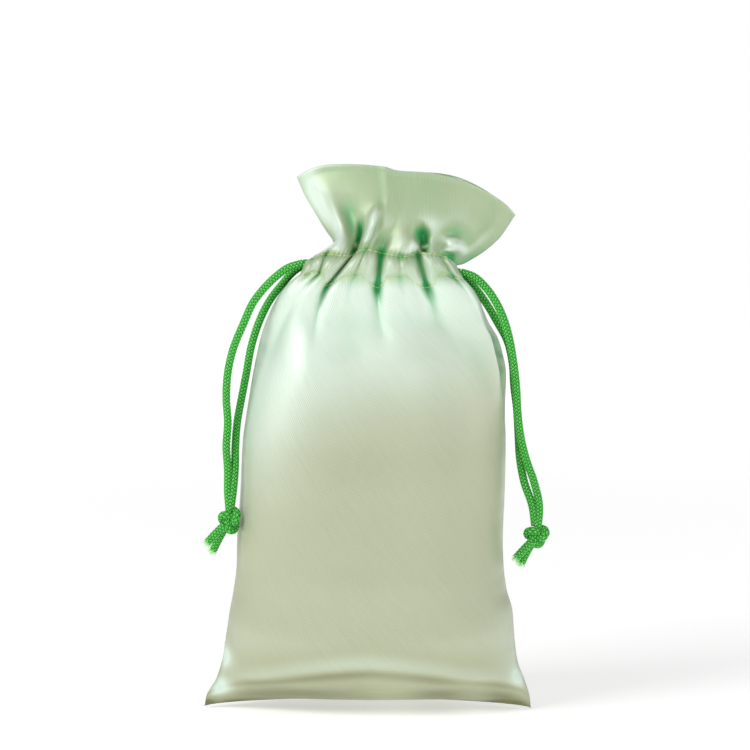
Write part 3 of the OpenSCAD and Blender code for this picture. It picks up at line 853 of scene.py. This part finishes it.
def cord_finish(name, gap, middle, crest_highlight):
    """Braided polyester cord, with painted shade in the gaps between its yarns and painted highlights on
    their tops.
    """
    nodes = Nodes(name)
    stand = nodes.add("ShaderNodeAttribute", attribute_name="stand").outputs["Fac"]
    hairs = nodes.noise(nodes.place, 3200)
    level = nodes.sum_of((stand, .85), (hairs, .25))
    # Painted shade in the braid's gaps and painted highlights on its yarns, by how proud each point stands.
    colour = nodes.ramped(level, (.12, gap), (.94, crest_highlight), (.5, middle))
    rough = nodes.ranged(hairs, 0, 1, .34, .5)
    relief = nodes.add("ShaderNodeBump", {"Strength": .4, "Distance": .00008, "Height": hairs})
    nodes.set(Base_Color=colour, Roughness=rough, Normal=relief.outputs[0])
    nodes.set(Specular_IOR_Level=.22)
    return nodes.material


def thread_finish(name, dark, light):
    """Twisted sewing thread, with painted shade between its plies."""
    nodes = Nodes(name)
    plies = {"Vector": nodes.place, "Scale": 900, "Distortion": 1}
    twist = nodes.add("ShaderNodeTexWave", plies, bands_direction="DIAGONAL").outputs["Fac"]
    colour = nodes.ramped(twist, (.15, dark), (.8, light))
    relief = nodes.add("ShaderNodeBump", {"Strength": .3, "Distance": .00005, "Height": twist})
    nodes.set(Base_Color=colour, Roughness=.5, Normal=relief.outputs[0])
    return nodes.material


def paper_finish(name, colour):
    """Plain matt paper for the floor, brighter far from the sack."""
    nodes = Nodes(name)
    grain = nodes.noise(nodes.place, 400)
    relief = nodes.add("ShaderNodeBump", {"Strength": .05, "Distance": .0001, "Height": grain})
    nodes.set(Base_Color=colour, Roughness=.9, Normal=relief.outputs[0])
    away = nodes.add("ShaderNodeVectorMath", {0: nodes.place}, operation="LENGTH").outputs["Value"]
    nodes.set(Emission_Color=colour, Emission_Strength=nodes.ranged(away, .1, 1.6, .5, .96))
    return nodes.material


# Finishes and their colours: the satin's first, the cord's middle, the thread's last and the floor's colour
# are their own; the others are painted shade and painted highlights.
FINISHES = {
    "satin_weave": (satin_finish, ("satin", "satin_painted_fold_shade", "satin_painted_low_shade", "satin_painted_ruffle_shade", "satin_painted_under_shade")),
    "cord_braid": (cord_finish, ("cord_painted_gap_shade", "cord", "cord_painted_crest_highlight")),
    "twisted_thread": (thread_finish, ("thread_dark", "thread")),
    "floor_paper": (paper_finish, ("floor",)),
}


def finish(key):
    """The named finish, made once from the colours the user set."""
    if key in bpy.data.materials:
        return bpy.data.materials[key]
    maker, colours = FINISHES[key]
    chosen = bpy.context.scene.sack_finishes
    return maker(key, *((*getattr(chosen, colour), 1) for colour in colours))


# ---------------------------------------------------------------- sizes and colours

def millimetres(name, about, default):
    """A length that the user can change."""
    return bpy.props.FloatProperty(
        name=name, description=about, default=default * MM, unit="LENGTH", precision=5
    )


def colour_of(name, about, default):
    """A colour that the user can change."""
    return bpy.props.FloatVectorProperty(
        name=name, description=about, default=default, subtype="COLOR", size=3, min=0, max=1
    )


def degrees(name, about, default):
    """An angle that the user can change."""
    return bpy.props.FloatProperty(
        name=name, description=about, default=math.radians(default), unit="ROTATION"
    )


def watts(name, about, default):
    """A light's power that the user can change."""
    return bpy.props.FloatProperty(name=name, description=about, default=default, min=0)


class SackSizes(bpy.types.PropertyGroup):
    """Sizes of the cloth, the cords and the sewing"""

    cloth_thickness: millimetres("Cloth thickness", "Thickness of one layer of satin", .26)
    cloth_step: millimetres("Cloth detail", "Distance between two rows of the cloth's mesh", .9)
    braid_pitch: millimetres("Braid pitch", "Length of cord between two yarns of its braid", 1.25)
    stitch_length: millimetres("Stitch length", "Length of one casing stitch", 2.2)
    stitch_thickness: millimetres("Thread thickness", "Thickness of the sewing thread", .34)
    tail_length: millimetres("Hidden tail", "Length of a cut tail inside its knot", 2)
    fray_length: millimetres("Fray length", "Length of the loose fibres at a cut end", 2)


class SackFinishes(bpy.types.PropertyGroup):
    """Colours of the satin, the cord, the thread and the floor, with the painted shade and painted highlights
    of the satin, the cord and the thread
    """

    satin: colour_of("Satin", "Pale green of the cloth", (.77, .89, .78))
    # Painted shade: the deeper green in the folds.
    satin_painted_fold_shade: colour_of("Satin in hollows", "Deeper green where the cloth folds in", (.06, .48, .16))
    # Painted shade: the darker mid green of the casing and the ruffle.
    satin_painted_ruffle_shade: colour_of("Satin of the ruffle", "Mid green of the ruffle", (.40, .54, .32))
    # Painted shade: olive, deep in folds near the bottom seam.
    satin_painted_under_shade: colour_of("Satin underneath", "Olive shade near the bottom seam", (.19, .19, .08))
    # Painted shade: the darker colour lower on the body and towards its right.
    satin_painted_low_shade: colour_of("Satin low down", "Greyer green low on the body", (.50, .52, .355))
    cord: colour_of("Cord", "Bright green of the cord", (.0, .45, .01))
    # Painted shade in the braid's gaps.
    cord_painted_gap_shade: colour_of("Cord gaps", "Dark green between the yarns", (.0, .13, .003))
    # Painted highlights on the braid's yarns.
    cord_painted_crest_highlight: colour_of("Cord yarns", "Light green on the yarns", (.50, 1, .40))
    thread: colour_of("Thread", "Yellow green of the stitching", (.72, .84, .34))
    thread_dark: colour_of("Thread shade", "Shade side of the stitching", (.50, .62, .20))
    floor: colour_of("Floor", "Pale floor", (.9, .9, .9))


class SackView(bpy.types.PropertyGroup):
    """Where the camera and the lights stand"""

    distance: millimetres("Camera distance", "From the camera to the sack", 752)
    height_angle: degrees("Camera height angle", "Angle above the level", 3)
    side_angle: degrees("Camera side angle", "Angle to the right of the front", 1.5)
    key_power: watts("Key light", "Power of the main light", 4.5)
    fill_power: watts("Fill light", "Power of the side light", 1.8)


# ---------------------------------------------------------------- stage

# The point that the camera and the lights look at, in millimetres.
AIM = (2.35, 0, 121.3)
LENS, SENSOR_WIDTH = 100, 36
# Brightness of the surroundings as they light the sack; seen directly they are at 1.
SURROUND_LIGHT = .25
# The floor in metres: how far it reaches, its squares along a side, and how far it lies below the sack.
FLOOR_REACH, FLOOR_SQUARES, FLOOR_DROP = 4, 24, .2 * MM


class SACK_OT_stage(bpy.types.Operator):
    """Set up the floor, the lights and the camera"""

    bl_idname = "gift_sack.stage"
    bl_label = "Stage"

    def execute(self, context):
        scene, view = context.scene, context.scene.sack_view
        scene.view_settings.view_transform = "Standard"
        aim = Vector(AIM) * MM
        back = Vector((
            math.sin(view.side_angle) * math.cos(view.height_angle),
            -math.cos(view.side_angle) * math.cos(view.height_angle),
            math.sin(view.height_angle),
        ))
        camera = bpy.data.objects.new("camera", bpy.data.cameras.new("camera"))
        camera.data.lens, camera.data.sensor_width = LENS, SENSOR_WIDTH
        camera.location = aim + back * view.distance
        camera.rotation_euler = (-back).to_track_quat("-Z", "Y").to_euler()
        scene.collection.objects.link(camera)
        scene.camera = camera
        lights = (
            ("key_light", (-.62, -.45, .62), .45, view.key_power),
            ("fill_light", (.25, -1.2, .5), .8, view.fill_power),
            ("right_light", (.85, -.35, .4), .5, view.fill_power * 1.1),
            ("top_light", (.1, .1, 1.0), .6, view.fill_power * .5),
        )
        for name, place, size, power in lights:
            lamp = bpy.data.objects.new(name, bpy.data.lights.new(name, "AREA"))
            lamp.data.energy, lamp.data.size = power, size
            lamp.location = place
            lamp.rotation_euler = (aim - Vector(place)).to_track_quat("-Z", "Y").to_euler()
            scene.collection.objects.link(lamp)
        world = bpy.data.worlds.new("studio")
        scene.world = world
        world.use_nodes = True
        tree = world.node_tree
        sky = tree.nodes["Background"]
        sky.inputs["Color"].default_value = (1, 1, 1, 1)
        seen = tree.nodes.new("ShaderNodeLightPath")
        strength = tree.nodes.new("ShaderNodeMapRange")
        strength.inputs["To Min"].default_value = SURROUND_LIGHT
        strength.inputs["To Max"].default_value = 1
        tree.links.new(seen.outputs["Is Camera Ray"], strength.inputs["Value"])
        tree.links.new(strength.outputs[0], sky.inputs["Strength"])
        places = np.linspace(-FLOOR_REACH, FLOOR_REACH, FLOOR_SQUARES + 1)
        x, y = np.meshgrid(places, places)
        floor_points = np.stack([x, y, np.full_like(x, -FLOOR_DROP)], -1).reshape(-1, 3)
        floor = build("floor", floor_points, grid_faces(len(places), len(places)), finish("floor_paper"))
        return {"FINISHED"}


# ---------------------------------------------------------------- cords

# The hanging strands: route, which drawcord, front or back, and length in metres.
STRANDS = {
    "left_front_strand": (LEFT_FRONT_ROUTE, "left", -1, .0993),
    "left_back_strand": (LEFT_BACK_ROUTE, "left", 1, .0964),
    "right_front_strand": (RIGHT_FRONT_ROUTE, "right", -1, .1003),
    "right_back_strand": (RIGHT_BACK_ROUTE, "right", 1, .0986),
}
# The two tails of each knot: their way, and how far they show past the knot in millimetres.
KNOT_ENDS = {
    "left": ((-.75, -.1, -.65, 6), (-.52, .1, -.84, 7.6)),
    "right": ((-.75, -.15, -.65, 6), (-.5, .15, -.86, 6.4)),
}
KNOT_TURNS = {"left": math.radians(18), "right": math.radians(8)}


def exit_of(way, side):
    """Where a strand leaves the casing, on its hinge's axis."""
    pivot = SWINGS[way + "_swing"]
    return np.array((pivot.x, side * abs(RUN_Y), pivot.z))


def knot_line(centre, width, height, turn):
    """A tight overhand knot's line, closed on itself, with its lobes stretched to the knot's size."""
    t = np.linspace(0, 2 * np.pi, 40, endpoint=False)
    flat = np.stack([np.sin(t) + 2 * np.sin(2 * t), -1.25 * np.sin(3 * t), np.cos(t) - 2 * np.cos(2 * t)], -1)
    c, s = math.cos(turn), math.sin(turn)
    flat = flat @ np.array([[c, 0, s], [0, 1, 0], [-s, 0, c]])
    flat -= (flat.max(0) + flat.min(0)) / 2
    cord = 2 * CORD_RADIUS
    reach = np.array([width - cord, .92 * cord, height - cord]) / 2 / np.abs(flat).max(0)
    return along(centre + flat * reach, KNOT_STEP, closed=True)


def frayed_tail(start, way, length, fray, radius, pitch, seed):
    """A cut cord tail that bends down a little and ends in loose fibres."""
    chance = np.random.default_rng(seed)
    way = np.array(way) / np.linalg.norm(way)
    drop = np.array((0, 0, -1.0))
    bent = [start + way * length * k + drop * length * .12 * k * k for k in np.linspace(0, 1, 6)]
    line = along(bent, KNOT_STEP)
    parts = [braided(line, radius, pitch)]
    end = line[-1]
    heading = line[-1] - line[-4]
    heading /= np.linalg.norm(heading)
    one, two = cross_frames(line)
    for _ in range(FIBRES):
        angle, out = chance.uniform(0, 2 * np.pi), math.sqrt(chance.uniform(0, 1)) * radius * .92
        root = end - heading * ROOT_DEPTH + out * (math.cos(angle) * one[-1] + math.sin(angle) * two[-1])
        spread = .45 * (root - end + heading * ROOT_DEPTH) / radius + chance.normal(0, .13, 3)
        reach = fray * chance.uniform(.45, 1)
        bend = chance.normal(0, .12, 3)
        steps = np.linspace(0, 1, 5)[:, None]
        hair = root + reach * steps * (heading + spread * steps) + reach * bend * steps ** 2
        parts.append(fibre(hair, np.linspace(*FIBRE_RADII, len(hair))))
    return joined(parts)


class SACK_OT_cords(bpy.types.Operator):
    """Hang the four braided strands, tie their knots and fray their tails"""

    bl_idname = "gift_sack.cords"
    bl_label = "Drawcords"

    def execute(self, context):
        sizes = context.scene.sack_sizes
        pitch = sizes.braid_pitch
        for way in ("left", "right"):
            low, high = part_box(way + "_knot")
            centre = np.array((low + high) / 2)
            width, height = high.x - low.x, high.z - low.z
            line = knot_line(centre, width, height, KNOT_TURNS[way])
            points, faces, stand = braided(line, CORD_RADIUS, pitch, closed=True)
            knot = build(way + "_overhand_knot", points, faces, finish("cord_braid"), {"stand": stand})
            tails = []
            for k, (side, (*tail_way, past)) in enumerate(zip((-1, 1), KNOT_ENDS[way])):
                start = centre + np.array((0, side * CORD_RADIUS, 0)) + np.array(tail_way) * height * .22
                length = past * MM + sizes.tail_length
                fray = sizes.fray_length
                tails.append(
                    frayed_tail(start, tail_way, length, fray, CORD_RADIUS, pitch, FIRST_SEED + k)
                )
            points, faces, stand = joined(tails)
            cut_ends = build(way + "_frayed_tails", points, faces, finish("cord_braid"), {"stand": stand})
            for piece, node in ((knot, way + "_knot"), (cut_ends, way + "_tails")):
                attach(piece, way + "_hang")
                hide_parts(node)
        for name, (route, way, side, length) in STRANDS.items():
            start = exit_of(way, side)
            line = along(start + np.array(route), STRAND_STEP)
            points, faces, stand = braided(line, CORD_RADIUS, pitch)
            strand = build("braided_" + name, points, faces, finish("cord_braid"), {"stand": stand})
            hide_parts(name)
            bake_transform(strand)
        return {"FINISHED"}


class SACK_OT_cord_runs(bpy.types.Operator):
    """Lay the cords inside the casing and bend each round the far end"""

    bl_idname = "gift_sack.cord_runs"
    bl_label = "Cords in the casing"

    def execute(self, context):
        pitch = context.scene.sack_sizes.braid_pitch
        for way in ("left", "right"):
            for place in ("front", "back"):
                node = f"{way}_{place}_run"
                low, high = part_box(node)
                y, z = (low.y + high.y) / 2, (low.z + high.z) / 2
                exit_x = exit_of(way, 1)[0]
                first, last = min(low.x, exit_x), max(high.x, exit_x)
                line = along([(first, y, z), ((first + last) / 2, y, z), (last, y, z)], RUN_STEP)
                points, faces, stand = braided(line, CORD_RADIUS, pitch, RUN_SIDES)
                run = build("braided_" + node, points, faces, finish("cord_braid"), {"stand": stand})
                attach(run, way + "_lead")
                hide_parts(node)
            node = way + "_return"
            low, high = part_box(node)
            turned = 1 if way == "left" else -1
            start, reach = (low.x, high.x) if turned > 0 else (high.x, low.x)
            z = (low.z + high.z) / 2
            centre = start + RETURN_STRAIGHT * turned
            turn = reach - turned * CORD_RADIUS - centre
            bend = [(start, -abs(RUN_Y), z)]
            bend += [
                (centre + turn * math.cos(a), abs(RUN_Y) * math.sin(a), z)
                for a in np.radians(range(-90, 91, 15))
            ]
            bend += [(start, abs(RUN_Y), z)]
            points, faces, stand = braided(along(bend, RUN_STEP), CORD_RADIUS, pitch, RUN_SIDES)
            loop = build("braided_" + node, points, faces, finish("cord_braid"), {"stand": stand})
            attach(loop, "sack")
            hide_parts(node)
        return {"FINISHED"}


# ---------------------------------------------------------------- cloth

class SACK_OT_cloth(bpy.types.Operator):
    """Shape the front and back satin with their puffs, ruffle, folded rim and facing"""

    bl_idname = "gift_sack.cloth"
    bl_label = "Satin cloth"

    def execute(self, context):
        sizes = context.scene.sack_sizes
        for place, side in CLOTH_SIDES.items():
            grid, cut = cloth_grid(side, CLOTH_COLUMNS, sizes.cloth_step / MM)
            points, faces = thick_sheet(grid, sizes.cloth_thickness, side)
            values = {"cut": np.concatenate([cut.reshape(-1, 3)] * 2)}
            cloth = build(place + "_satin", points, faces, finish("satin_weave"), values)
            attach(cloth, "sack")
            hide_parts(place + "_panel", place + "_facing")
        return {"FINISHED"}


# ---------------------------------------------------------------- sewing

def sewn_row(line, outward_way, stitch, thickness):
    """A row of stitches along a line of points on the cloth, each with its ends pulled in."""
    reach = lengths_along(line)
    parts, at = [], stitch * .6
    while at + stitch < reach[-1]:
        spots = np.linspace(at, at + stitch, len(STITCH_SHAPE))
        path = np.stack([np.interp(spots, reach, line[:, k]) for k in range(3)], -1)
        way = np.stack([np.interp(spots, reach, outward_way[:, k]) for k in range(3)], -1)
        from_middle = 2 * np.linspace(0, 1, len(STITCH_SHAPE))[:, None] - 1
        lift = thickness * (.42 - .9 * from_middle ** 4)
        parts.append(fibre(path + way * lift, thickness / 2 * np.array(STITCH_SHAPE), 8))
        at += stitch * (1 + STITCH_GAP)
    return joined(parts)


class SACK_OT_sewing(bpy.types.Operator):
    """Sew the two rows of casing stitching on each panel"""

    bl_idname = "gift_sack.sewing"
    bl_label = "Casing stitching"

    def execute(self, context):
        sizes = context.scene.sack_sizes
        step = sizes.cloth_step / MM
        lower = round(BODY_CLOTH / step)
        upper = lower + round(CASING_CLOTH / step)
        for place, side in CLOTH_SIDES.items():
            grid, _ = cloth_grid(side, CLOTH_COLUMNS, step)
            ways = outward(grid, side)
            for row, at in (("lower", lower), ("upper", upper)):
                points, faces, _ = sewn_row(
                    grid[at, 4:-4], ways[at, 4:-4], sizes.stitch_length, sizes.stitch_thickness
                )
                node = f"{place}_{row}_stitching"
                row_piece = build("sewn_" + node, points, faces, finish("twisted_thread"))
                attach(row_piece, "sack")
                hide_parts(node)
        return {"FINISHED"}


class Strip:
    """A seam's two allowances lying on each other, from the seam to their wavy free edge."""

    def __init__(self, edge, inward, width):
        self.edge, self.inward, self.width = edge, np.array(inward, float), width
        self.reach = lengths_along(edge)

    def at(self, length, in_from_seam, aside):
        """Points at lengths along the seam, at distances from it, and aside of the strip's middle."""
        length, in_from_seam, aside = np.broadcast_arrays(length, in_from_seam, aside)
        points = np.stack([np.interp(length, self.reach, self.edge[:, k]) for k in range(3)], -1)
        wave = .45 * MM * np.sin(length / .0047 + 1.3 * np.sin(length / .013))
        points = points + self.inward * (SEAM_OFF + in_from_seam)[..., None]
        points[..., 1] += aside + wave * np.clip(in_from_seam / self.width, 0, 1) ** 1.5
        return points

    def plies(self, thickness):
        """Both layers as closed sheets: points, faces and place on the cut with a little painted shade."""
        length, across = np.meshgrid(self.reach, np.linspace(0, self.width, 9), indexing="ij")
        if self.inward[0] <= 0:
            across = across[:, ::-1]
        cut = np.stack([across, length, np.full_like(across, .05)], -1).reshape(-1, 3)
        parts = []
        for side in CLOTH_SIDES.values():
            grid = self.at(length, across, side * (thickness + SEAM_GAP / 2))
            points, faces = thick_sheet(grid, thickness, side)
            parts.append((points, faces, np.concatenate([cut, cut])))
        return joined(parts)

    def sewing(self, sizes, thickness):
        """The lockstitch beside the seam and the overlock thread round the free edge."""
        out = thickness + SEAM_GAP / 2
        row = self.at(self.reach, self.width / 4, -out)
        ways = np.tile((0, -1, 0), (len(row), 1))
        parts = [sewn_row(row, ways, sizes.stitch_length, sizes.stitch_thickness)]
        thread = sizes.stitch_thickness * .3
        starts = np.arange(thread, self.reach[-1] - sizes.stitch_length, sizes.stitch_length * .6)
        shares = np.linspace(0, 1, 6, endpoint=False) * sizes.stitch_length * .6
        inner, beyond = self.width - 2.4 * MM, self.width + thread
        in_from_seam = np.array([inner, beyond, beyond, inner, beyond, beyond])
        aside = (out + thread) * np.array([-1, -1, 1, 1, 1, -1])
        length = (starts[:, None] + shares).ravel()
        loops = self.at(length, np.tile(in_from_seam, len(starts)), np.tile(aside, len(starts)))
        parts.append(fibre(loops, np.full(len(loops), thread)))
        return joined(parts)


class SACK_OT_seams(bpy.types.Operator):
    """Turn the side and bottom seam allowances to the inside and overlock them"""

    bl_idname = "gift_sack.seams"
    bl_label = "Seam allowances"

    def execute(self, context):
        sizes = context.scene.sack_sizes
        step = sizes.cloth_step / MM
        grid, _ = cloth_grid(-1, CLOTH_COLUMNS, step)
        body = grid[: round(BODY_CLOTH / step)]
        seams = {
            "left_side": (body[:, 0], 2, (1, 0, 0)),
            "right_side": (body[:, -1], 2, (-1, 0, 0)),
            "bottom": (body[0], 0, (0, 0, 1)),
        }
        for way, (line, axis, inward) in seams.items():
            low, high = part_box(way + "_seam")
            edge = line[(line[:, axis] > low[axis]) & (line[:, axis] < high[axis])]
            strip = Strip(edge, inward, SEAM_WIDTH)
            points, faces, cut = strip.plies(sizes.cloth_thickness)
            allowance = build(way + "_allowances", points, faces, finish("satin_weave"), {"cut": cut})
            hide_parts(way + "_seam")
            points, faces, _ = strip.sewing(sizes, sizes.cloth_thickness)
            overlock = build(way + "_overlock", points, faces, finish("twisted_thread"))
            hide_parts(way + "_stitching")
            for piece in (allowance, overlock):
                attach(piece, "sack")
        return {"FINISHED"}


# ---------------------------------------------------------------- panel

STEPS = (SACK_OT_stage, SACK_OT_cords, SACK_OT_cord_runs, SACK_OT_cloth, SACK_OT_sewing, SACK_OT_seams)


class SACK_PT_panel(bpy.types.Panel):
    """The gift sack's sizes, colours and steps"""

    bl_idname = "SACK_PT_panel"
    bl_label = "Gift Sack"
    bl_space_type = "VIEW_3D"
    bl_region_type = "UI"
    bl_category = "Gift Sack"

    def draw(self, context):
        for group in (context.scene.sack_sizes, context.scene.sack_finishes, context.scene.sack_view):
            box = self.layout.box()
            for key in group.__annotations__:
                box.prop(group, key)
        for step in STEPS:
            self.layout.operator(step.bl_idname)


CLASSES = (SackSizes, SackFinishes, SackView, *STEPS, SACK_PT_panel)


def register():
    for made in CLASSES:
        bpy.utils.register_class(made)
    bpy.types.Scene.sack_sizes = bpy.props.PointerProperty(type=SackSizes)
    bpy.types.Scene.sack_finishes = bpy.props.PointerProperty(type=SackFinishes)
    bpy.types.Scene.sack_view = bpy.props.PointerProperty(type=SackView)


def unregister():
    del bpy.types.Scene.sack_view
    del bpy.types.Scene.sack_finishes
    del bpy.types.Scene.sack_sizes
    for made in reversed(CLASSES):
        bpy.utils.unregister_class(made)


def main():
    register()
    bpy.ops.gift_sack.stage()
    bpy.ops.gift_sack.cords()
    bpy.ops.gift_sack.cord_runs()
    bpy.ops.gift_sack.cloth()
    bpy.ops.gift_sack.sewing()
    bpy.ops.gift_sack.seams()


if __name__ == "__main__":
    main()
